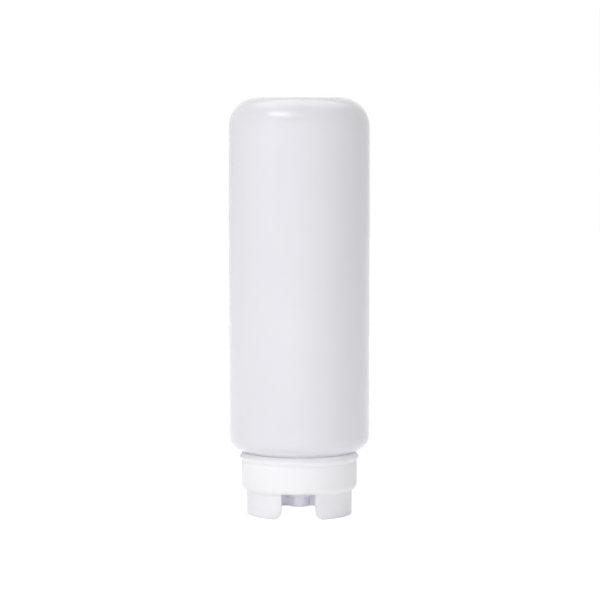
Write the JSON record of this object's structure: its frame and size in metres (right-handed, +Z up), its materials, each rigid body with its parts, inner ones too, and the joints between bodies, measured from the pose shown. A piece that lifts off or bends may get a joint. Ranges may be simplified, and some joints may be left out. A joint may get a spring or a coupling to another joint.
{
  "type": "inverted sauce squeeze bottle",
  "caption": "Translucent round squeeze bottle standing neck down in a white screw cap with three feet, a central spout and a cross-slit valve.",
  "frame": {"origin": "on the table under the bottle's axis, at the flat undersides of the cap's feet", "axes": "+Z up along the bottle's axis, from the cap's feet to the bottle's base; -Y through the middle of the front slot between two feet"},
  "size_m": [0.073, 0.073, 0.2137],
  "materials": {
    "bottle": "milky translucent low-density polyethylene, softly glossy",
    "cap": "white moulded polypropylene, fine satin",
    "neck_seal": "soft closed-cell foam ring",
    "valve": "clear silicone rubber with a dusty bloom",
    "valve_retainer": "natural moulded polypropylene"
  },
  "bodies": {
    "cap": {"cap": "cap", "valve": "valve", "valve_retainer": "valve_retainer"},
    "seal": {"neck_seal": "neck_seal"},
    "bottle": {"bottle": "bottle"},
    "flap_1": {"valve_flap_1": "valve"},
    "flap_2": {"valve_flap_2": "valve"},
    "flap_3": {"valve_flap_3": "valve"},
    "flap_4": {"valve_flap_4": "valve"}
  },
  "joints": [
    {"name": "bottle_turn", "type": "hinge", "parent": "cap", "child": "seal", "pos_m": [0, 0, 0.0169], "axis": [0, 0, 1], "range_deg": [0, 1080]},
    {"name": "bottle_lift", "type": "slide", "parent": "seal", "child": "bottle", "axis": [0, 0, 1], "range_m": [0, 0.0151]},
    {"name": "flap_1_open", "type": "hinge", "parent": "cap", "child": "flap_1", "pos_m": [0.00166, 0.00166, 0.0063], "axis": [0.7071, -0.7071, 0], "range_deg": [0, 70], "stiffness_Nm_per_rad": 0.00001},
    {"name": "flap_2_open", "type": "hinge", "parent": "cap", "child": "flap_2", "pos_m": [-0.00166, 0.00166, 0.0063], "axis": [0.7071, 0.7071, 0], "range_deg": [0, 70], "stiffness_Nm_per_rad": 0.00001},
    {"name": "flap_3_open", "type": "hinge", "parent": "cap", "child": "flap_3", "pos_m": [-0.00166, -0.00166, 0.0063], "axis": [-0.7071, 0.7071, 0], "range_deg": [0, 70], "stiffness_Nm_per_rad": 0.00001},
    {"name": "flap_4_open", "type": "hinge", "parent": "cap", "child": "flap_4", "pos_m": [0.00166, -0.00166, 0.0063], "axis": [-0.7071, -0.7071, 0], "range_deg": [0, 70], "stiffness_Nm_per_rad": 0.00001}
  ],
  "couplings": [
    {"joint": "bottle_lift", "follows": "bottle_turn", "m_per_rad": 0.00079577},
    {"joint": "flap_2_open", "follows": "flap_1_open", "ratio": 1},
    {"joint": "flap_3_open", "follows": "flap_1_open", "ratio": 1},
    {"joint": "flap_4_open", "follows": "flap_1_open", "ratio": 1}
  ]
}
